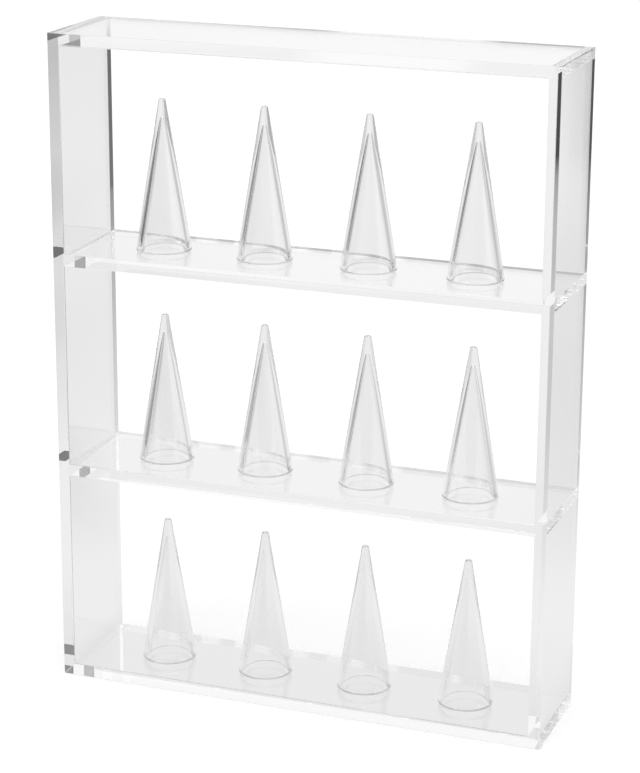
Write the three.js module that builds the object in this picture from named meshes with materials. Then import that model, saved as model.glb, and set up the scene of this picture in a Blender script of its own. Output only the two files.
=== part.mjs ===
// Ring display: an open frame of clear sheets with rows of hollow cones for finger rings.
// Millimetres, +Z up. The front faces -Y, and the origin is under the middle of the base.
import * as THREE from 'three';

// Overall size of the frame
const FRAME_WIDTH = 230;
const FRAME_DEPTH = 52.5;
const FRAME_HEIGHT = 300;

// Sheets and the joints between them
const SHEET_THICKNESS = 5.5;
const CEMENT_THICKNESS = 0.25;

// Cones
const CONE_FOOT_DIAMETER = 25;
const CONE_HEIGHT = 68;
const CONE_TIP_FLAT = 0.75; // radius of the flat on the tip
const CONE_TIP_ROUND = 0.9; // radius that turns the flat into the side
const CONE_WALL = 2.2; // level, at the foot
const CONE_SOLID_TIP = 8; // from the tip down to the top of the hollow
const HOLLOW_TIP_ROUND = 0.65;
const CONE_PITCH = 48.5;
const CONES_PER_TIER = 4;
const CONE_SIDES = 32;
const TIP_ARC_STEPS = 4;

// Level pieces from the bottom to the top, and the cones' tiers that stand on the first three
const LEVEL_NAMES = ['base_panel', 'lower_shelf', 'upper_shelf', 'top_panel'];
const TIER_NAMES = ['lower', 'middle', 'upper'];

const CLEAR_SHEET = { color: 0xf1f4f4, roughness: 0.04, metalness: 0, transparent: true, opacity: 0.25 };
const CLEAR_MOULDING = { color: 0xeef0f0, roughness: 0.06, metalness: 0, transparent: true, opacity: 0.3 };
const CEMENT = { color: 0xe4e8e8, roughness: 0.3, metalness: 0, transparent: true, opacity: 0.4 };

const innerHalfWidth = FRAME_WIDTH / 2 - SHEET_THICKNESS;
const levelHalfLength = innerHalfWidth - CEMENT_THICKNESS;
const levelSpacing = (FRAME_HEIGHT - SHEET_THICKNESS) / (LEVEL_NAMES.length - 1);

function piece(name, geometry, finish) {
  const mesh = new THREE.Mesh(geometry, new THREE.MeshStandardMaterial(finish));
  mesh.name = name;
  return mesh;
}

// A box from its lowest to its highest x and z, over the whole depth of the frame
function sheet(name, [left, right], [bottom, top], finish) {
  const geometry = new THREE.BoxGeometry(right - left, FRAME_DEPTH, top - bottom);
  const mesh = piece(name, geometry, finish);
  mesh.position.set((left + right) / 2, 0, (bottom + top) / 2);
  return mesh;
}

// Half outline of a cone from the foot to the tip, which is rounded and may have a flat in the middle
function coneOutline(footRadius, height, flatRadius, roundRadius) {
  const reach = footRadius - flatRadius;
  const rise = height - roundRadius;
  const sideLean = Math.acos(roundRadius / Math.hypot(reach, rise)) - Math.atan2(rise, reach);
  const arc = new THREE.EllipseCurve(flatRadius, rise, roundRadius, roundRadius, sideLean, Math.PI / 2);
  const points = [new THREE.Vector2(footRadius, 0), ...arc.getPoints(TIP_ARC_STEPS)];
  points.at(-1).x = flatRadius;
  if (flatRadius > 0) points.push(new THREE.Vector2(0, height));
  return points;
}

// The hollow's outline runs down from its top to the foot, and the outside runs back up to the tip
function coneGeometry() {
  const footRadius = CONE_FOOT_DIAMETER / 2;
  const hollowHeight = CONE_HEIGHT - CONE_SOLID_TIP;
  const hollow = coneOutline(footRadius - CONE_WALL, hollowHeight, 0, HOLLOW_TIP_ROUND);
  const outside = coneOutline(footRadius, CONE_HEIGHT, CONE_TIP_FLAT, CONE_TIP_ROUND);
  const geometry = new THREE.LatheGeometry([...hollow.reverse(), ...outside], CONE_SIDES);
  return geometry.rotateX(Math.PI / 2);
}

function sidePanels() {
  const height = [0, FRAME_HEIGHT];
  return [
    sheet('left_side_panel', [-FRAME_WIDTH / 2, -innerHalfWidth], height, CLEAR_SHEET),
    sheet('right_side_panel', [innerHalfWidth, FRAME_WIDTH / 2], height, CLEAR_SHEET),
  ];
}

// One level sheet, with the film of cement that holds each of its ends to a side panel
function level(name, bottom) {
  const height = [bottom, bottom + SHEET_THICKNESS];
  return [
    sheet(name, [-levelHalfLength, levelHalfLength], height, CLEAR_SHEET),
    sheet(`${name}_left_cement`, [-innerHalfWidth, -levelHalfLength], height, CEMENT),
    sheet(`${name}_right_cement`, [levelHalfLength, innerHalfWidth], height, CEMENT),
  ];
}

// One row of cones, spaced evenly about the middle of the frame
function tier(name, floor) {
  const row = new THREE.Group();
  row.position.z = floor;
  for (let i = 0; i < CONES_PER_TIER; i++) {
    const cone = piece(`${name}_ring_cone_${i + 1}`, coneGeometry(), CLEAR_MOULDING);
    cone.position.x = (i - (CONES_PER_TIER - 1) / 2) * CONE_PITCH;
    row.add(cone);
  }
  return row;
}

const ringDisplay = new THREE.Group();
ringDisplay.add(...sidePanels());
LEVEL_NAMES.forEach((name, i) => ringDisplay.add(...level(name, i * levelSpacing)));
TIER_NAMES.forEach((name, i) => ringDisplay.add(tier(name, i * levelSpacing + SHEET_THICKNESS)));

export default ringDisplay;
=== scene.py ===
"""Ring display: an open frame of clear acrylic sheets, with three rows of hollow cones for finger rings."""

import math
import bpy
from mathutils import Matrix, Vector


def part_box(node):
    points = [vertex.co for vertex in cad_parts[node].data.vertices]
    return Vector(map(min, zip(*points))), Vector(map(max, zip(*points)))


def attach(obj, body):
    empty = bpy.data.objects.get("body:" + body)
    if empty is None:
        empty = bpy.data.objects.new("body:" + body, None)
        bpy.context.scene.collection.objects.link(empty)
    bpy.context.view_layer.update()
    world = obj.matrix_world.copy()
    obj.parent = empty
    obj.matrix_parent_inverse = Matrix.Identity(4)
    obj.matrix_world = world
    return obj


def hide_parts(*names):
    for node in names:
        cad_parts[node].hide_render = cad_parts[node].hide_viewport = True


bl_info = {
    "name": "Ring Display",
    "version": (1, 0, 0),
    "blender": (4, 5, 0),
    "location": "View3D > Sidebar > Ring Display",
    "description": "Builds a clear acrylic ring display in the places of its packed model",
    "category": "Object",
}

from typing import NamedTuple

import bmesh
import bpy
from mathutils import Matrix, Vector

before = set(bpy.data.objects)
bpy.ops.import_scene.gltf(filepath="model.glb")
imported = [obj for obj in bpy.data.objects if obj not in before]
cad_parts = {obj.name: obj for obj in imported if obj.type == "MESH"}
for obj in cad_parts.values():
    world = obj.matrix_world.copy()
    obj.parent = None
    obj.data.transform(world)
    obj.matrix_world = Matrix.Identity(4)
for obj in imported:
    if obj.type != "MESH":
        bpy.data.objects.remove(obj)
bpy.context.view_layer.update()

MM = 0.001
BODY = "root"
SIDE_NAMES = ("left", "right")
LEVEL_NAMES = ("base_panel", "lower_shelf", "upper_shelf", "top_panel")
TIER_NAMES = ("lower", "middle", "upper")
CONES_PER_TIER = 4

RIGHT = (1.0, 0.0, 0.0)
BACK = (0.0, 1.0, 0.0)
UP = (0.0, 0.0, 1.0)
LEVEL = (1.0, 1.0, 0.0)

# Material places on a piece
CLEAR = 0
BOND = 1

# Limits that tell faces, edges and points apart
SQUARE_ON = 0.9  # part of a normal that lies along the way it faces
FLAT_DOWN = -0.99  # upward part of a normal that points down
SHARP_CORNER = math.radians(45)
FOOT_CORNER = math.radians(60)
SOFT_CORNER = math.radians(25)  # corners up to this are shaded smooth
CUT_GAP = 1e-7
MERGE_GAP = 1e-6
LONG_LINE = 10 * MM  # lines longer than this are the sides of a cone
FOOT_REACH = 0.1 * MM  # above the foot


# Shader recipes


class Wire:
    """One output socket. Arithmetic on it adds Math nodes to its tree."""

    def __init__(self, recipe, socket):
        self.recipe = recipe
        self.socket = socket

    def maths(self, operation, first, second=0.0):
        return self.recipe.node("ShaderNodeMath", {"operation": operation}, {0: first, 1: second})

    def __add__(self, other):
        return self.maths("ADD", self, other)

    def __radd__(self, other):
        return self.maths("ADD", other, self)

    def __sub__(self, other):
        return self.maths("SUBTRACT", self, other)

    def __rsub__(self, other):
        return self.maths("SUBTRACT", other, self)

    def __mul__(self, other):
        return self.maths("MULTIPLY", self, other)

    def __rmul__(self, other):
        return self.maths("MULTIPLY", other, self)

    def __truediv__(self, other):
        return self.maths("DIVIDE", self, other)

    def __rtruediv__(self, other):
        return self.maths("DIVIDE", other, self)

    def __abs__(self):
        return self.maths("ABSOLUTE", self)

    def fraction(self):
        return self.maths("FRACT", self)

    def highest(self, other):
        return self.maths("MAXIMUM", self, other)


class Recipe:
    """The node tree of one material or world, built node by node."""

    def __init__(self, tree):
        self.tree = tree
        tree.nodes.clear()

    def node(self, kind, settings, sockets, output=0):
        """Adds a node, first its settings and then the values or links of its sockets. Gives one output."""
        made = self.tree.nodes.new(kind)
        for name, value in settings.items():
            setattr(made, name, value)
        for name, value in sockets.items():
            if isinstance(value, Wire):
                self.tree.links.new(value.socket, made.inputs[name])
            else:
                made.inputs[name].default_value = value
        return Wire(self, made.outputs[output]) if made.outputs else None

    def place(self):
        return self.node("ShaderNodeTexCoord", {}, {}, "Object")

    def ray(self, kind):
        """1 for a ray of a kind that Light Path names."""
        return self.node("ShaderNodeLightPath", {}, {}, kind)

    def vector(self, operation, first, sockets, output=0):
        return self.node("ShaderNodeVectorMath", {"operation": operation}, {0: first, **sockets}, output)

    def along(self, place, direction):
        """How far a place lies along a direction."""
        return self.vector("DOT_PRODUCT", place, {1: direction}, "Value")

    def length(self, way):
        return self.vector("LENGTH", way, {}, "Value")

    def band(self, value, low, high):
        """0 at low and before it, 1 at high and beyond it, and a straight rise between."""
        return self.node("ShaderNodeMapRange", {}, {"Value": value, "From Min": low, "From Max": high})

    def noise(self, place, scale, detail=2.0):
        sockets = {"Vector": place, "Scale": scale, "Detail": detail}
        return self.node("ShaderNodeTexNoise", {}, sockets, "Fac")

    def principled(self, sockets):
        return self.node("ShaderNodeBsdfPrincipled", {}, sockets)

    def see_through(self):
        return self.node("ShaderNodeBsdfTransparent", {}, {})

    def glow(self, colour):
        return self.node("ShaderNodeEmission", {}, {"Color": colour})

    def matte(self, colour):
        return self.node("ShaderNodeBsdfDiffuse", {}, {"Color": (*colour, 1.0)})

    def mix(self, share, first, second):
        return self.node("ShaderNodeMixShader", {}, {0: share, 1: first, 2: second})

    def cover(self, shader):
        self.node("ShaderNodeOutputMaterial", {}, {"Surface": shader})


def new_recipe(name):
    material = bpy.data.materials.new(name)
    material.use_nodes = True
    return material, Recipe(material.node_tree)


# Finishes of the pieces

# Noise scales are in patterns to the metre, and noise levels say where a pattern starts and is full
SOFT_DETAIL = 1.0
MARK_SCALE = 70.0
MARK_DETAIL = 4.0
MARK_LEVELS = (0.5, 0.75)
POCKET_LEVELS = (0.68, 0.69)
FOOT_PATCH_SCALE = 150.0
FOOT_PATCH_LEVELS = (0.35, 0.65)
FOOT_PATCH_HAZE = 0.2
BUBBLE_RADII = (0.1, 0.16)  # shares of the pitch, where a bubble is full and where it ends
STREAK_SCALE = 90.0
STREAK_LEVELS = (0.66, 0.76)
STREAK_EASE_RIGHT = 0.1  # streaks start this much sooner on the right
CEMENT_ROUGHNESS = 0.3
MIDDLE_FADE = 10 * MM  # from the middle of the display to where its right half is full


def acrylic_finish(name, look):
    """Clear acrylic with slow waves in the surface, and handling marks that dull it here and there."""
    material, recipe = new_recipe(name)
    place = recipe.place()
    waves = recipe.noise(place, look.wave_scale, SOFT_DETAIL)
    marks = recipe.band(recipe.noise(place, MARK_SCALE, MARK_DETAIL), *MARK_LEVELS)
    bump = recipe.node(
        "ShaderNodeBump", {}, {"Strength": 1.0, "Distance": look.wave_height, "Height": waves}
    )
    shader = recipe.principled(
        {
            "Base Color": (*look.tint, 1.0),
            "Roughness": look.roughness + marks * look.marks,
            "IOR": look.ior,
            "Transmission Weight": 1.0,
            "Normal": bump,
        }
    )
    recipe.cover(shader)
    return material


def right_half(recipe, place):
    """1 on the right half of the display, where the cement took less well."""
    return recipe.band(recipe.along(place, RIGHT), 0.0, MIDDLE_FADE)


def bond_finish(sheets, cement):
    """A joint face. Light passes straight through wetted cement, and meets bare acrylic at air pockets."""
    material, recipe = new_recipe("wetted_joint")
    place = recipe.place()
    blobs = recipe.noise(place, 1.0 / cement.pocket_size, SOFT_DETAIL)
    pockets = right_half(recipe, place) * recipe.band(blobs, *POCKET_LEVELS)
    bare = recipe.principled(
        {"Base Color": (*sheets.tint, 1.0), "Roughness": 0.0, "IOR": sheets.ior, "Transmission Weight": 1.0}
    )
    recipe.cover(recipe.mix(pockets, recipe.see_through(), bare))
    return material


def foot_finish(look):
    """The foot of a cone, which cement has wetted all over and left a little hazy."""
    material, recipe = new_recipe("wetted_foot")
    patches = recipe.band(recipe.noise(recipe.place(), FOOT_PATCH_SCALE), *FOOT_PATCH_LEVELS)
    haze = look.foot_haze + patches * FOOT_PATCH_HAZE
    recipe.cover(recipe.mix(haze, recipe.see_through(), recipe.matte(look.foot_colour)))
    return material


def cement_finish(look):
    """Dried cement: clear where it wets both faces, with fine whitish bubbles here and there."""
    material, recipe = new_recipe("dried_cement")
    place = recipe.place()
    cells = recipe.node("ShaderNodeTexVoronoi", {}, {"Vector": place, "Scale": 1.0 / look.bubble_pitch})
    bubbles = 1.0 - recipe.band(cells, *BUBBLE_RADII)
    ease = right_half(recipe, place) * STREAK_EASE_RIGHT
    start, full = STREAK_LEVELS
    streaks = recipe.band(recipe.noise(place, STREAK_SCALE), start - ease, full - ease)
    white = recipe.principled(
        {"Base Color": (*look.colour, 1.0), "Roughness": CEMENT_ROUGHNESS, "IOR": look.ior}
    )
    recipe.cover(recipe.mix(bubbles * streaks, recipe.see_through(), white))
    return material


# Studio that the acrylic shows


class Wedge(NamedTuple):
    """Part of the studio round the display, in degrees."""

    turn: float  # its middle, right of straight back
    full: float  # how far it is full, to each side
    gone: float  # where it is gone, to each side


class FloorPatch(NamedTuple):
    """Part of the floor painted darker or lighter than the rest, as shade or as light. Distances are in
    metres.
    """

    wedge: Wedge
    begins: tuple  # where it starts, and where it is full
    ends: tuple  # where it is gone, and where it is last full
    strength: float  # how much it counts where it is full


FLOOR_RADIUS = 8.0
NO_END = (FLOOR_RADIUS + 1.0, FLOOR_RADIUS)

# The floor under the left panel's front edge, where light from the front enters the panel
LEFT_FRONT = (-0.112, -0.026, 0.0)

BACKDROP = Wedge(-19, 19, 31)
LEFT_FLOOR = Wedge(-66, 20, 28)
FAR_LEFT_FLOOR = Wedge(-78, 12, 18)
RIGHT_FLOOR = Wedge(21, 21, 31)
FRONT_FLOOR = Wedge(187, 37, 47)

# Shares of the light that are missing. The left floor darkens early and pales again farther out,
# but not beside the display. The last three are on the right, on the right farther out, and in front.
FLOOR_PATCHES = (
    FloorPatch(LEFT_FLOOR, begins=(0.2, 0.6), ends=NO_END, strength=0.35),
    FloorPatch(LEFT_FLOOR, begins=(0.5, 1.1), ends=NO_END, strength=-0.15),
    FloorPatch(FAR_LEFT_FLOOR, begins=(0.2, 0.4), ends=NO_END, strength=0.17),
    FloorPatch(FAR_LEFT_FLOOR, begins=(0.5, 1.1), ends=NO_END, strength=0.15),
    FloorPatch(Wedge(28, 10, 15), begins=(0.22, 0.4), ends=(0.7, 0.5), strength=0.15),
    FloorPatch(Wedge(30, 9, 11), begins=(0.4, 0.65), ends=(1.15, 0.9), strength=0.17),
    FloorPatch(Wedge(182, 14, 32), begins=(0.12, 0.3), ends=(1.3, 0.7), strength=0.13),
)
# Painted shade on the floor: at the backdrop's left edge, and far in front on the left of the left panel's
# front edge
BACKDROP_EDGE_SHADE = FloorPatch(Wedge(-40, 8, 18), begins=(0.25, 0.5), ends=NO_END, strength=0.07)
LEFT_FRONT_SHADE = FloorPatch(Wedge(207, 6, 8), begins=(0.95, 0.99), ends=NO_END, strength=0.25)

# Light that the floor gains under the window
WINDOW_POOL = FloorPatch(Wedge(194.5, 2.5, 4), begins=(1.1, 1.25), ends=NO_END, strength=1.0)

# Reaches of the floor's light, in metres from the display
NEAR_DIP_REACH = (1.1, 0.2)
NEAR_FALL_REACH = (0.15, 0.35)
FLOOR_FALL_REACH = (0.2, 1.8)
FRONT_FALL_START = 0.15
FRONT_END_REACH = (1.85, 1.98)

# Soft shadow under the base and behind it, from its ends to where it is full
SHADOW_WIDTH = (0.13, 0.12)
SHADOW_FRONT = (-0.03, -0.026)
SHADOW_BACK = (0.13, 0.03)
SHADOW_DEPTH = 0.08

RIGHT_ROOM = Wedge(19, 9.5, 12)
SIDE_ROOMS = (Wedge(-75, 37, 45), Wedge(70, 38, 41))
SIDE_LEVEL = 0.68

# A dark strip right of the backdrop, darkest in a sharper strip inside it
DARK_STRIP = Wedge(27.2, 1.3, 1.6)
DARKEST_STRIP = Wedge(27.63, 1.0, 1.1)
DARKEST_SHARE = 0.45

# Brightness that the right room and its dark strip gain between two heights above the level
RIGHT_GAINS = ((0.05, 0.12, 0.2), (0.156, 0.4, 0.17))
STRIP_LEVEL = 0.05
STRIP_GAINS = ((0.05, 0.1, 0.11), (0.26, 0.4, 0.08))

# The front of the room lies opposite this way, and is brighter from some height up
FRONT_OPPOSITE = -20
FRONT_REACH = (0.2, -0.5)
FRONT_GAINS = ((0.34, 0.4, 1.0),)

# Narrow slatted window in front, with a halo
WINDOW = Wedge(194.67, 0.13, 0.17)
WINDOW_FOOT = (0.2551, 0.2555)
WINDOW_HEAD = (0.2618, 0.2614)
SLAT_START = 0.2553
SLAT_PITCH = 0.0016
SLAT_EDGE = (0.4, 0.5)
HALO = Wedge(194.7, 3, 5)
HALO_FOOT = (0.2485, 0.2505)
HALO_HEAD = (0.28, 0.268)
HALO_SHARE = 0.1

# Lamp in front on the left, and the ceiling
FRONT_LAMP = Wedge(206, 4, 8)
FRONT_LAMP_FOOT = (0.19, 0.225)
FRONT_LAMP_HEAD = (0.46, 0.4)
FRONT_LAMP_LEVEL = 1.2
CEILING_RISE = (0.5, 0.75)
CEILING_LEVEL = 0.75

# The dark card's upper part, and the two steps of its edge, as distances from its middle
CARD_SOLID_RISE = 9 * MM
CARD_SOLID_SHARE = 0.45
CARD_STEPS = ((1.2 * MM, -0.2 * MM, 0.7), (9.5 * MM, 5.5 * MM, 0.3))
# Painted dark glow of the card, the same under any light
CARD_LEVEL = (0.07, 0.07, 0.07, 1.0)


def level_direction(degrees):
    """Level direction that many degrees right of straight back."""
    turn = math.radians(degrees)
    return (math.sin(turn), math.cos(turn), 0.0)


def sector(recipe, way, wedge):
    """1 where a way lies in a wedge, and 0 where the wedge is gone."""
    level = recipe.vector("NORMALIZE", recipe.vector("MULTIPLY", way, {1: LEVEL}), {})
    gone = math.cos(math.radians(wedge.gone))
    full = math.cos(math.radians(wedge.full))
    return recipe.band(recipe.along(level, level_direction(wedge.turn)), gone, full)


def gained(recipe, value, start, gains):
    """A level that grows by each gain between two values."""
    level = start
    for low, high, gain in gains:
        level = level + recipe.band(value, low, high) * gain
    return level


def glass_ray(recipe):
    """1 for a ray that came off a gloss or through glass."""
    return recipe.ray("Is Glossy Ray").highest(recipe.ray("Is Transmission Ray"))


def patch_cover(recipe, way, far, patch):
    """How much a patch of the floor counts at a place."""
    reach = recipe.band(far, *patch.begins) * recipe.band(far, *patch.ends)
    return sector(recipe, way, patch.wedge) * reach * patch.strength


def floor_fall(recipe, place, far, look):
    """Share of its light that the floor lacks on the left, on the right and in front."""
    left = sector(recipe, place, LEFT_FLOOR)
    right = sector(recipe, place, RIGHT_FLOOR)
    front = sector(recipe, place, FRONT_FLOOR)
    fall = recipe.band(far, *NEAR_FALL_REACH) * look.floor_near_fall
    fall = fall + recipe.band(far, *FLOOR_FALL_REACH) * look.floor_fall
    fall = fall + front * (far - FRONT_FALL_START).highest(0.0) * look.floor_front_fall
    for patch in FLOOR_PATCHES:
        fall = fall + patch_cover(recipe, place, far, patch)
    return fall * left.highest(right).highest(front) * (1.0 - sector(recipe, place, BACKDROP))


def base_shadow(recipe, place):
    """1 on the floor under the base, thinning out behind it."""
    wide = abs(recipe.along(place, RIGHT))
    deep = recipe.along(place, BACK)
    across = recipe.band(wide, *SHADOW_WIDTH)
    return across * recipe.band(deep, *SHADOW_FRONT) * recipe.band(deep, *SHADOW_BACK)


def floor_through_glass(recipe, look):
    """How bright the floor looks through the acrylic."""
    place = recipe.place()
    far = recipe.length(place)
    from_edge = recipe.vector("SUBTRACT", place, {1: LEFT_FRONT})
    missing = floor_fall(recipe, place, far, look)
    missing = missing + patch_cover(recipe, place, far, BACKDROP_EDGE_SHADE)
    missing = missing + patch_cover(recipe, from_edge, recipe.length(from_edge), LEFT_FRONT_SHADE)
    level = look.floor_glass_level - recipe.band(far, *NEAR_DIP_REACH) * look.floor_near_dip
    level = level - base_shadow(recipe, place) * SHADOW_DEPTH
    pool = patch_cover(recipe, from_edge, far, WINDOW_POOL) * look.pool_level
    end = sector(recipe, place, FRONT_FLOOR) * recipe.band(far, *FRONT_END_REACH) * look.floor_end_level
    return (level * (1.0 - missing) + pool).highest(look.floor_dark_level + end)


def floor_finish(look):
    """A pale floor, white to the lens, that keeps the shadow. To the acrylic it is a glow, with its falloff,
    shade and pool of light painted.
    """
    material, recipe = new_recipe("floor")
    lift = recipe.glow(recipe.ray("Is Camera Ray") * look.floor_lift)
    plain = recipe.node("ShaderNodeAddShader", {}, {0: recipe.matte(look.floor_colour), 1: lift})
    in_glass = recipe.glow(floor_through_glass(recipe, look))
    recipe.cover(recipe.mix(glass_ray(recipe), plain, in_glass))
    return material


def card_finish(look):
    """A dark card that thins out towards its lower end: a faint glow, lit by nothing, that paints a dark
    line.
    """
    material, recipe = new_recipe("dark_card")
    place = recipe.place()
    height = recipe.along(place, UP)
    across = (math.cos(look.card_turn), -math.sin(look.card_turn), 0.0)
    side = recipe.along(place, across) - Vector(look.card_place).dot(across)
    thin = recipe.band(height, look.card_low, look.card_edge)
    solid = recipe.band(height, look.card_edge, look.card_edge + CARD_SOLID_RISE)
    upright = thin * thin * thin * (1.0 - CARD_SOLID_SHARE) + solid * CARD_SOLID_SHARE
    cover = upright * gained(recipe, side, 0.0, CARD_STEPS)
    recipe.cover(recipe.mix(cover, recipe.see_through(), recipe.glow(CARD_LEVEL)))
    return material


def side_rooms(recipe, direction):
    """1 on the left and on the right of the room."""
    left, right = SIDE_ROOMS
    return sector(recipe, direction, left) + sector(recipe, direction, right)


def right_room(recipe, direction, rise, stage):
    """How bright the room is right of the backdrop, with a dark strip in it."""
    lit = gained(recipe, rise, stage.right_level, RIGHT_GAINS)
    dark = gained(recipe, rise, STRIP_LEVEL, STRIP_GAINS)
    strip = sector(recipe, direction, DARKEST_STRIP) * DARKEST_SHARE
    strip = strip + sector(recipe, direction, DARK_STRIP) * (1.0 - DARKEST_SHARE)
    return lit - strip * (lit - dark)


def slatted_window(recipe, direction, rise):
    """A narrow window with slats across it, and a faint halo round it."""
    slats = recipe.band(((rise - SLAT_START) / SLAT_PITCH).fraction(), *SLAT_EDGE)
    panes = sector(recipe, direction, WINDOW) * slats
    panes = panes * recipe.band(rise, *WINDOW_FOOT) * recipe.band(rise, *WINDOW_HEAD)
    halo = sector(recipe, direction, HALO) * recipe.band(rise, *HALO_FOOT) * recipe.band(rise, *HALO_HEAD)
    return panes + halo * HALO_SHARE


def front_room(recipe, direction, rise, stage):
    """What the room gains in front: an even glow, a slatted window and a soft lamp."""
    glow = recipe.band(recipe.along(direction, level_direction(FRONT_OPPOSITE)), *FRONT_REACH)
    glow = glow * gained(recipe, rise, 1.0, FRONT_GAINS)
    window = slatted_window(recipe, direction, rise)
    lamp = sector(recipe, direction, FRONT_LAMP)
    lamp = lamp * recipe.band(rise, *FRONT_LAMP_FOOT) * recipe.band(rise, *FRONT_LAMP_HEAD)
    return glow * stage.front_level + window * stage.window_level + lamp * FRONT_LAMP_LEVEL


def room_through_glass(recipe, stage):
    """How bright the room looks through the acrylic, above the floor."""
    direction = recipe.node("ShaderNodeTexCoord", {}, {}, "Generated")
    rise = recipe.along(direction, UP)
    backdrop = sector(recipe, direction, BACKDROP)
    sides = side_rooms(recipe, direction) * (1.0 - backdrop)
    right = sector(recipe, direction, RIGHT_ROOM)
    right = right * (right_room(recipe, direction, rise, stage) - stage.room_level)
    room = stage.room_level + backdrop * (stage.sweep_level - stage.room_level) + right
    room = room + sides * SIDE_LEVEL + front_room(recipe, direction, rise, stage)
    return room.highest(recipe.band(rise, *CEILING_RISE) * CEILING_LEVEL)


# Mesh work

# Steps in a rounded edge
EDGE_STEPS = 2
FOOT_STEPS = 3


def block(low, high):
    """A bmesh box between two corners."""
    mesh = bmesh.new()
    bmesh.ops.create_cube(mesh, size=1.0)
    bmesh.ops.scale(mesh, vec=high - low, verts=mesh.verts)
    bmesh.ops.translate(mesh, vec=(low + high) / 2, verts=mesh.verts)
    return mesh


def cut_level(mesh, height):
    whole = mesh.verts[:] + mesh.edges[:] + mesh.faces[:]
    bmesh.ops.bisect_plane(mesh, geom=whole, dist=CUT_GAP, plane_co=(0, 0, height), plane_no=UP)


def mark_bonds(mesh, is_bond):
    for face in mesh.faces:
        face.material_index = BOND if is_bond(face) else CLEAR


def is_end(face):
    """Whether a face is at the left or right end of a piece."""
    return abs(face.normal.x) > SQUARE_ON


def bare_corners(mesh):
    """The sharp edges that touch no joint face."""
    return [
        edge
        for edge in mesh.edges
        if edge.calc_face_angle(0.0) > SHARP_CORNER
        and all(face.material_index == CLEAR for face in edge.link_faces)
    ]


def round_edges(mesh, edges, radius, segments):
    bmesh.ops.bevel(
        mesh, geom=edges, offset=radius, segments=segments, profile=0.5, affect="EDGES", material=-1
    )


def add_object(mesh, name, materials):
    data = bpy.data.meshes.new(name)
    mesh.to_mesh(data)
    mesh.free()
    for material in materials:
        data.materials.append(material)
    thing = bpy.data.objects.new(name, data)
    bpy.context.scene.collection.objects.link(thing)
    return thing


def add_piece(mesh, name, node, materials):
    """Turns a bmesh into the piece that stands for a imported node."""
    piece = add_object(mesh, name, materials)
    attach(piece, BODY)
    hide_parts(node)


def add_stage_mesh(mesh, name, material):
    thing = add_object(mesh, name, [material])
    return thing


def level_heights():
    """Bottom and top of each level sheet, from the base up."""
    corners = [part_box(name) for name in LEVEL_NAMES]
    return [(low.z, high.z) for low, high in corners]


def side_panel_mesh(side, sheets):
    """A side panel, cut at the heights of the level sheets so that its joint faces can be marked."""
    low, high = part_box(f"{side}_side_panel")
    mesh = block(low, high)
    heights = level_heights()
    for bottom, top in heights:
        for height in (bottom, top):
            if low.z < height < high.z:
                cut_level(mesh, height)
    inward = -1 if side == "right" else 1

    def is_bond(face):
        centre = face.calc_center_median().z
        return face.normal.x * inward > SQUARE_ON and any(bottom < centre < top for bottom, top in heights)

    mark_bonds(mesh, is_bond)
    round_edges(mesh, bare_corners(mesh), sheets.edge_round, EDGE_STEPS)
    return mesh


def level_sheet_mesh(name, sheets):
    mesh = block(*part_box(name))
    mark_bonds(mesh, is_end)
    round_edges(mesh, bare_corners(mesh), sheets.edge_round, EDGE_STEPS)
    return mesh


def cement_mesh(node, cement):
    low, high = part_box(node)
    slack = Vector((cement.slack, 0, 0))
    mesh = block(low + slack, high - slack)
    mark_bonds(mesh, is_end)
    return mesh


def cone_outline(foot_radius, foot, top, flat_radius, round_radius, steps):
    """Half outline of a cone, from the foot to a tip that is flat in the middle and round at its edge."""
    reach = foot_radius - flat_radius
    rise = top - round_radius - foot
    lean = math.acos(round_radius / math.hypot(reach, rise)) - math.atan2(rise, reach)
    points = [Vector((foot_radius, 0, foot))]
    for step in range(steps + 1):
        angle = lean + (math.pi / 2 - lean) * step / steps
        radius = flat_radius + round_radius * math.cos(angle)
        points.append(Vector((radius, 0, foot + rise + round_radius * math.sin(angle))))
    points[-1].z = top
    points.append(Vector((0, 0, top)))
    return points


def cone_section(radius, foot, top, cones):
    """Half section of a cone, from the top of the hollow down to the foot and up the outside to the tip."""
    hollow = cone_outline(
        radius - cones.wall, foot, top - cones.solid_tip, 0.0, cones.hollow_tip_radius, cones.tip_steps
    )
    hollow.pop()
    outside = cone_outline(radius, foot, top, cones.tip_flat, cones.tip_round, cones.tip_steps)
    return hollow[::-1] + outside


def spin_section(section, cones):
    """A closed bmesh spun from a half section about the upright axis."""
    mesh = bmesh.new()
    points = [mesh.verts.new(point) for point in section]
    lines = [mesh.edges.new(pair) for pair in zip(points, points[1:])]
    sides = [line for line in lines if line.calc_length() > LONG_LINE]
    bmesh.ops.subdivide_edges(mesh, edges=sides, cuts=cones.side_cuts)
    bmesh.ops.spin(
        mesh,
        geom=mesh.verts[:] + mesh.edges[:],
        cent=(0, 0, 0),
        axis=UP,
        angle=math.tau,
        steps=cones.segments,
        use_merge=True,
    )
    bmesh.ops.remove_doubles(mesh, verts=mesh.verts, dist=MERGE_GAP)
    bmesh.ops.recalc_face_normals(mesh, faces=mesh.faces)
    return mesh


def foot_rims(mesh, foot):
    """The sharp edges round the foot."""
    return [
        edge
        for edge in mesh.edges
        if edge.calc_face_angle(0.0) > FOOT_CORNER and max(v.co.z for v in edge.verts) < foot + FOOT_REACH
    ]


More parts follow.
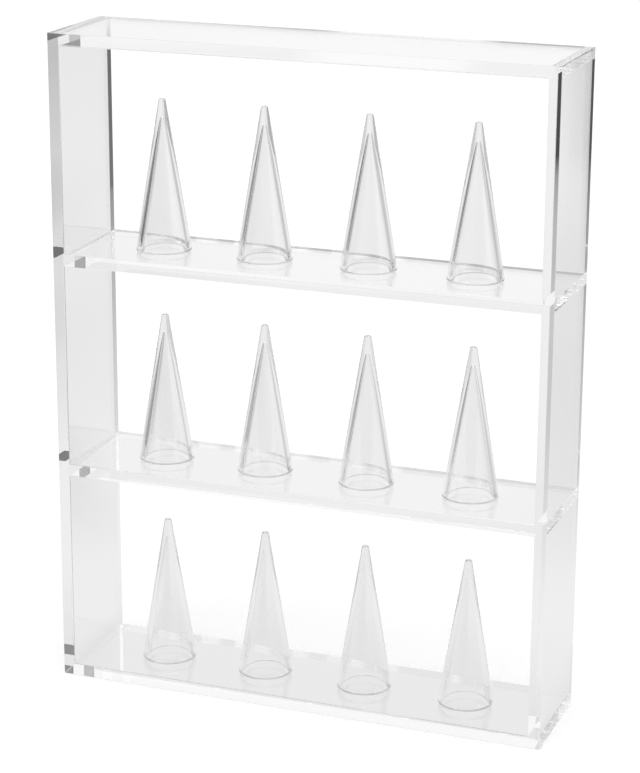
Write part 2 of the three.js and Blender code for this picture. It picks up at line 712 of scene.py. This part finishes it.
def cone_mesh(node, cones):
    """A hollow cone, with its foot marked as the cemented part."""
    low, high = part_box(node)
    centre = (low + high) / 2
    foot = low.z + cones.foot_gap
    radius = (high.x - low.x) / 2
    mesh = spin_section(cone_section(radius, foot, high.z, cones), cones)
    round_edges(mesh, foot_rims(mesh, foot), cones.foot_round, FOOT_STEPS)

    def is_bond(face):
        middle = face.calc_center_median()
        in_rim = middle.z < foot + cones.foot_round and middle.xy.length < radius - cones.wall / 2
        return in_rim or face.normal.z < FLAT_DOWN

    mark_bonds(mesh, is_bond)
    for face in mesh.faces:
        face.smooth = True
    for edge in mesh.edges:
        edge.smooth = edge.calc_face_angle(0.0) < SOFT_CORNER
    bmesh.ops.translate(mesh, vec=(centre.x, centre.y, 0), verts=mesh.verts)
    return mesh


# Settings


class RingDisplaySheets(bpy.types.PropertyGroup):
    """The clear sheets of the frame."""

    edge_round: bpy.props.FloatProperty(
        name="Edge round", description="Radius on the bare edges", default=0.16 * MM, unit="LENGTH"
    )
    tint: bpy.props.FloatVectorProperty(
        name="Tint", description="Colour of the surface", default=(0.988, 0.989, 0.988), subtype="COLOR"
    )
    roughness: bpy.props.FloatProperty(name="Roughness", description="Of a clean face", default=0.0)
    marks: bpy.props.FloatProperty(name="Marks", description="Roughness that handling adds", default=0.03)
    ior: bpy.props.FloatProperty(name="Refraction", description="Index of refraction", default=1.49)
    wave_scale: bpy.props.FloatProperty(name="Wave scale", description="Waves to the metre", default=18.0)
    wave_height: bpy.props.FloatProperty(
        name="Wave height", description="Of the slow waves in a face", default=0.004 * MM, unit="LENGTH"
    )


class RingDisplayCones(bpy.types.PropertyGroup):
    """The moulded cones."""

    wall: bpy.props.FloatProperty(
        name="Wall", description="Level thickness at the foot", default=2.2 * MM, unit="LENGTH"
    )
    solid_tip: bpy.props.FloatProperty(
        name="Solid tip", description="From the tip down to the hollow", default=8.0 * MM, unit="LENGTH"
    )
    tip_flat: bpy.props.FloatProperty(
        name="Tip flat", description="Radius of the flat on the tip", default=0.75 * MM, unit="LENGTH"
    )
    tip_round: bpy.props.FloatProperty(
        name="Tip round", description="Radius from the tip into the side", default=0.9 * MM, unit="LENGTH"
    )
    hollow_tip_radius: bpy.props.FloatProperty(
        name="Hollow tip radius", description="Inside", default=0.65 * MM, unit="LENGTH"
    )
    foot_round: bpy.props.FloatProperty(
        name="Foot round", description="Radius on the foot's rims", default=0.3 * MM, unit="LENGTH"
    )
    foot_gap: bpy.props.FloatProperty(
        name="Foot gap", description="Air under the foot", default=0.05 * MM, unit="LENGTH"
    )
    foot_colour: bpy.props.FloatVectorProperty(
        name="Foot colour", description="Of the cement under it", default=(0.5, 0.5, 0.5), subtype="COLOR"
    )
    foot_haze: bpy.props.FloatProperty(name="Foot haze", description="Cover of that cement", default=0.24)
    segments: bpy.props.IntProperty(name="Segments", description="Steps round the cone", default=96)
    tip_steps: bpy.props.IntProperty(name="Tip steps", description="Steps in each round tip", default=10)
    side_cuts: bpy.props.IntProperty(name="Side cuts", description="Cuts along each side", default=23)
    tint: bpy.props.FloatVectorProperty(
        name="Tint", description="Colour of the surface", default=(0.979, 0.979, 0.978), subtype="COLOR"
    )
    roughness: bpy.props.FloatProperty(name="Roughness", description="Of a clean face", default=0.0)
    marks: bpy.props.FloatProperty(name="Marks", description="Roughness that handling adds", default=0.03)
    ior: bpy.props.FloatProperty(name="Refraction", description="Index of refraction", default=1.49)
    wave_scale: bpy.props.FloatProperty(name="Wave scale", description="Waves to the metre", default=60.0)
    wave_height: bpy.props.FloatProperty(
        name="Wave height", description="Of the slow waves in a face", default=0.006 * MM, unit="LENGTH"
    )


class RingDisplayCement(bpy.types.PropertyGroup):
    """The films of cement in the joints."""

    slack: bpy.props.FloatProperty(
        name="Slack", description="Room left beside the film", default=0.003 * MM, unit="LENGTH"
    )
    pocket_size: bpy.props.FloatProperty(
        name="Pocket size", description="Of the air pockets in the joints", default=6.0 * MM, unit="LENGTH"
    )
    bubble_pitch: bpy.props.FloatProperty(
        name="Bubble pitch", description="Distance between bubbles", default=1.6 * MM, unit="LENGTH"
    )
    colour: bpy.props.FloatVectorProperty(
        name="Colour", description="Of bubbles and dry streaks", default=(0.95, 0.95, 0.95), subtype="COLOR"
    )
    ior: bpy.props.FloatProperty(name="Refraction", description="Index of refraction", default=1.49)


class RingDisplayStage(bpy.types.PropertyGroup):
    """Floor, light and camera."""

    floor_colour: bpy.props.FloatVectorProperty(
        name="Floor colour", description="Of the matte floor", default=(0.55, 0.55, 0.55), subtype="COLOR"
    )
    floor_lift: bpy.props.FloatProperty(
        name="Floor lift", description="Glow that makes the floor white to the lens", default=0.6
    )
    room_level: bpy.props.FloatProperty(
        name="Room level", description="Brightness of the room round the backdrop", default=0.12
    )
    right_level: bpy.props.FloatProperty(
        name="Right level", description="Brightness of the room right of the backdrop", default=0.36
    )
    front_level: bpy.props.FloatProperty(
        name="Front level", description="Brightness that the room gains in front", default=0.25
    )
    window_level: bpy.props.FloatProperty(
        name="Window level", description="Brightness of the slatted window in front", default=1.5
    )
    floor_drop: bpy.props.FloatProperty(
        name="Floor drop", description="Air under the base", default=0.2 * MM, unit="LENGTH"
    )
    sweep_level: bpy.props.FloatProperty(
        name="Sweep level", description="Brightness of the backdrop above the floor", default=0.96
    )
    floor_glass_level: bpy.props.FloatProperty(
        name="Glass level", description="Brightness of the floor through the acrylic", default=0.94
    )
    floor_near_dip: bpy.props.FloatProperty(
        name="Near dip", description="Brightness that the floor lacks round the object", default=0.065
    )
    floor_near_fall: bpy.props.FloatProperty(
        name="Near fall", description="Light that the floor loses close to the object", default=0.06
    )
    floor_fall: bpy.props.FloatProperty(
        name="Floor fall", description="Light that the floor loses farther out", default=0.35
    )
    floor_front_fall: bpy.props.FloatProperty(
        name="Front fall", description="Light that the floor also loses each metre in front", default=0.58
    )
    floor_dark_level: bpy.props.FloatProperty(
        name="Dark level", description="Least brightness of the floor through the acrylic", default=0.1
    )
    floor_end_level: bpy.props.FloatProperty(
        name="End level", description="Brightness that the floor in front gains at its far end", default=0.75
    )
    pool_level: bpy.props.FloatProperty(
        name="Pool level", description="Brightness that the floor gains under the window", default=1.5
    )
    card_place: bpy.props.FloatVectorProperty(
        name="Card place",
        description="Middle of the dark card behind the right panel",
        default=(0.1283, 0.0734, 0.22),
        subtype="XYZ",
        unit="LENGTH",
    )
    card_size: bpy.props.FloatVectorProperty(
        name="Card size", description="Its width and height", size=2, default=(0.02, 0.18), unit="LENGTH"
    )
    card_turn: bpy.props.FloatProperty(
        name="Card turn", description="Way that the card faces", default=math.radians(15), subtype="ANGLE"
    )
    card_edge: bpy.props.FloatProperty(
        name="Card edge", description="Height below which the card thins out", default=0.2375, unit="LENGTH"
    )
    card_low: bpy.props.FloatProperty(
        name="Card low", description="Height at which the card is gone", default=0.14, unit="LENGTH"
    )
    fill_light: bpy.props.FloatProperty(
        name="Fill light", description="Brightness of the even light from all round", default=0.6
    )
    overhead_power: bpy.props.FloatProperty(
        name="Overhead power", description="Of the broad lamp overhead", default=0.9
    )
    soft_box_power: bpy.props.FloatProperty(
        name="Soft box power", description="Of the lamp in front", default=1.4, unit="POWER"
    )
    soft_box_size: bpy.props.FloatProperty(
        name="Soft box size", description="Side of the lamp in front", default=0.5, unit="LENGTH"
    )
    soft_box_place: bpy.props.FloatVectorProperty(
        name="Soft box place",
        description="Middle of the lamp in front",
        default=(-0.77, -1.28, 0.57),
        subtype="XYZ",
        unit="LENGTH",
    )
    camera_turn: bpy.props.FloatProperty(
        name="Camera turn", description="Round from the front", default=math.radians(20.536), subtype="ANGLE"
    )
    camera_rise: bpy.props.FloatProperty(
        name="Camera rise", description="Above the level", default=math.radians(17.051), subtype="ANGLE"
    )
    camera_roll: bpy.props.FloatProperty(
        name="Camera roll", description="About its own axis", default=math.radians(0.281), subtype="ANGLE"
    )
    camera_distance: bpy.props.FloatProperty(
        name="Camera distance", description="From what it looks at", default=1.09098, unit="LENGTH"
    )
    camera_target: bpy.props.FloatVectorProperty(
        name="Camera target",
        description="The point in the middle of the picture",
        default=(0.00223, -0.00051, 0.14588),
        subtype="XYZ",
        unit="LENGTH",
    )
    lens: bpy.props.FloatProperty(name="Lens", description="Focal length in millimetres", default=114.49)


# Operators


class RINGDISPLAY_OT_side_panels(bpy.types.Operator):
    """Builds the two side panels"""

    bl_idname = "ring_display.side_panels"
    bl_label = "Side panels"

    def execute(self, context):
        sheets = context.scene.ring_display_sheets
        materials = sheet_materials(context.scene)
        for side in SIDE_NAMES:
            node = f"{side}_side_panel"
            add_piece(side_panel_mesh(side, sheets), f"{side}_panel", node, materials)
        return {"FINISHED"}


class RINGDISPLAY_OT_level_sheets(bpy.types.Operator):
    """Builds the base, the shelves and the top"""

    bl_idname = "ring_display.level_sheets"
    bl_label = "Level sheets"

    def execute(self, context):
        sheets = context.scene.ring_display_sheets
        materials = sheet_materials(context.scene)
        for node in LEVEL_NAMES:
            add_piece(level_sheet_mesh(node, sheets), f"{node}_sheet", node, materials)
        return {"FINISHED"}


class RINGDISPLAY_OT_joint_cement(bpy.types.Operator):
    """Builds the film of cement in each joint"""

    bl_idname = "ring_display.joint_cement"
    bl_label = "Joint cement"

    def execute(self, context):
        cement = context.scene.ring_display_cement
        clear = sheet_materials(context.scene)[CLEAR]
        materials = [clear, cement_finish(cement)]
        for level in LEVEL_NAMES:
            for side in SIDE_NAMES:
                node = f"{level}_{side}_cement"
                add_piece(cement_mesh(node, cement), f"{node}_film", node, materials)
        return {"FINISHED"}


class RINGDISPLAY_OT_ring_cones(bpy.types.Operator):
    """Builds the hollow cones"""

    bl_idname = "ring_display.ring_cones"
    bl_label = "Ring cones"

    def execute(self, context):
        cones = context.scene.ring_display_cones
        materials = [acrylic_finish("moulded_cone", cones), foot_finish(cones)]
        for tier in TIER_NAMES:
            for number in range(1, CONES_PER_TIER + 1):
                node = f"{tier}_ring_cone_{number}"
                add_piece(cone_mesh(node, cones), f"{tier}_cone_{number}", node, materials)
        return {"FINISHED"}


class RINGDISPLAY_OT_stage(bpy.types.Operator):
    """Adds the floor, the light and the camera"""

    bl_idname = "ring_display.stage"
    bl_label = "Stage"

    def execute(self, context):
        stage = context.scene.ring_display_stage
        add_floor(stage)
        add_card(stage)
        add_world(stage)
        add_lamps(stage)
        add_camera(stage)
        set_light_paths(context.scene)
        context.scene.view_settings.view_transform = "Standard"
        return {"FINISHED"}


def sheet_materials(scene):
    """The clear finish and the joint finish, made once."""
    sheets = scene.ring_display_sheets
    clear = bpy.data.materials.get("polished_sheet") or acrylic_finish("polished_sheet", sheets)
    bond = bpy.data.materials.get("wetted_joint") or bond_finish(sheets, scene.ring_display_cement)
    return [clear, bond]


# Stage

FLOOR_SIDES = 96
OVERHEAD_SPREAD = math.radians(60)
OVERHEAD_TILT = (math.radians(18), math.radians(12), 0)
SENSOR_WIDTH = 36.0
CLEAR_BOUNCES = 40
SEE_THROUGH_BOUNCES = 64


def add_floor(stage):
    mesh = bmesh.new()
    bmesh.ops.create_circle(mesh, cap_ends=True, segments=FLOOR_SIDES, radius=FLOOR_RADIUS)
    bmesh.ops.translate(mesh, vec=(0, 0, -stage.floor_drop), verts=mesh.verts)
    add_stage_mesh(mesh, "floor", floor_finish(stage))


def add_card(stage):
    """A dark card that only light through the right panel's edge meets. Only the acrylic shows it, and it
    paints the edge's dark line.
    """
    width, height = stage.card_size
    mesh = bmesh.new()
    bmesh.ops.create_grid(mesh, x_segments=1, y_segments=1, size=0.5)
    bmesh.ops.scale(mesh, vec=(width, height, 1), verts=mesh.verts)
    bmesh.ops.rotate(mesh, matrix=Matrix.Rotation(math.pi / 2, 3, "X"), verts=mesh.verts)
    bmesh.ops.rotate(mesh, matrix=Matrix.Rotation(-stage.card_turn, 3, "Z"), verts=mesh.verts)
    bmesh.ops.translate(mesh, vec=stage.card_place, verts=mesh.verts)
    card = add_stage_mesh(mesh, "dark_card", card_finish(stage))
    card.visible_camera = False
    card.visible_diffuse = False
    card.visible_shadow = False


def add_world(stage):
    """White to the lens, the studio's room to the acrylic, and an even light to all else."""
    world = bpy.data.worlds.new("studio")
    world.use_nodes = True
    recipe = Recipe(world.node_tree)
    lens = recipe.ray("Is Camera Ray")
    room = room_through_glass(recipe, stage)
    fill_level = (stage.fill_light, stage.fill_light, stage.fill_light, 1.0)
    fill = recipe.node("ShaderNodeBackground", {}, {"Color": fill_level})
    seen = recipe.node("ShaderNodeBackground", {}, {"Color": room.highest(lens)})
    shader = recipe.mix(lens.highest(glass_ray(recipe)), fill, seen)
    recipe.node("ShaderNodeOutputWorld", {}, {"Surface": shader})
    bpy.context.scene.world = world


def add_lamp(name, kind, power):
    lamp = bpy.data.objects.new(name, bpy.data.lights.new(name, kind))
    lamp.data.energy = power
    bpy.context.scene.collection.objects.link(lamp)
    return lamp


def add_lamps(stage):
    """A broad lamp overhead that lights the whole floor evenly, and a soft box in front on the left."""
    overhead = add_lamp("overhead_lamp", "SUN", stage.overhead_power)
    overhead.data.angle = OVERHEAD_SPREAD
    overhead.rotation_euler = OVERHEAD_TILT
    soft_box = add_lamp("soft_box", "AREA", stage.soft_box_power)
    soft_box.data.size = stage.soft_box_size
    soft_box.location = stage.soft_box_place
    soft_box.rotation_euler = soft_box.location.to_track_quat("Z", "Y").to_euler()
    soft_box.visible_glossy = False
    soft_box.visible_transmission = False


def add_camera(stage):
    data = bpy.data.cameras.new("camera")
    data.sensor_width = SENSOR_WIDTH
    data.lens = stage.lens
    camera = bpy.data.objects.new("camera", data)
    level = math.cos(stage.camera_rise)
    back = Vector(
        (
            math.sin(stage.camera_turn) * level,
            -math.cos(stage.camera_turn) * level,
            math.sin(stage.camera_rise),
        )
    )
    right = Vector(UP).cross(back).normalized()
    up = back.cross(right)
    roll = Matrix.Rotation(stage.camera_roll, 3, back)
    axes = Matrix((roll @ right, roll @ up, back)).transposed()
    place = Vector(stage.camera_target) + back * stage.camera_distance
    camera.matrix_world = Matrix.Translation(place) @ axes.to_4x4()
    bpy.context.scene.collection.objects.link(camera)
    bpy.context.scene.camera = camera


def set_light_paths(scene):
    """Light crosses many clear faces here, so its paths may be long."""
    scene.cycles.max_bounces = CLEAR_BOUNCES
    scene.cycles.transmission_bounces = CLEAR_BOUNCES
    scene.cycles.glossy_bounces = CLEAR_BOUNCES
    scene.cycles.transparent_max_bounces = SEE_THROUGH_BOUNCES


# Sidebar panel and registration


class RINGDISPLAY_PT_build(bpy.types.Panel):
    """Lists the parts of the ring display"""

    bl_idname = "RINGDISPLAY_PT_build"
    bl_label = "Ring Display"
    bl_space_type = "VIEW_3D"
    bl_region_type = "UI"
    bl_category = "Ring Display"

    def draw(self, context):
        for operator in OPERATORS:
            self.layout.operator(operator.bl_idname)
        for name in SETTINGS:
            box = self.layout.box()
            group = getattr(context.scene, name)
            for setting in group.__annotations__:
                box.prop(group, setting)


OPERATORS = (
    RINGDISPLAY_OT_side_panels,
    RINGDISPLAY_OT_level_sheets,
    RINGDISPLAY_OT_joint_cement,
    RINGDISPLAY_OT_ring_cones,
    RINGDISPLAY_OT_stage,
)
SETTINGS = {
    "ring_display_sheets": RingDisplaySheets,
    "ring_display_cones": RingDisplayCones,
    "ring_display_cement": RingDisplayCement,
    "ring_display_stage": RingDisplayStage,
}


def register():
    for name, group in SETTINGS.items():
        bpy.utils.register_class(group)
        setattr(bpy.types.Scene, name, bpy.props.PointerProperty(type=group))
    for kind in (*OPERATORS, RINGDISPLAY_PT_build):
        bpy.utils.register_class(kind)


def unregister():
    for kind in (RINGDISPLAY_PT_build, *reversed(OPERATORS)):
        bpy.utils.unregister_class(kind)
    for name, group in reversed(SETTINGS.items()):
        delattr(bpy.types.Scene, name)
        bpy.utils.unregister_class(group)


def main():
    register()
    bpy.ops.ring_display.side_panels()
    bpy.ops.ring_display.level_sheets()
    bpy.ops.ring_display.joint_cement()
    bpy.ops.ring_display.ring_cones()
    bpy.ops.ring_display.stage()


if __name__ == "__main__":
    main()
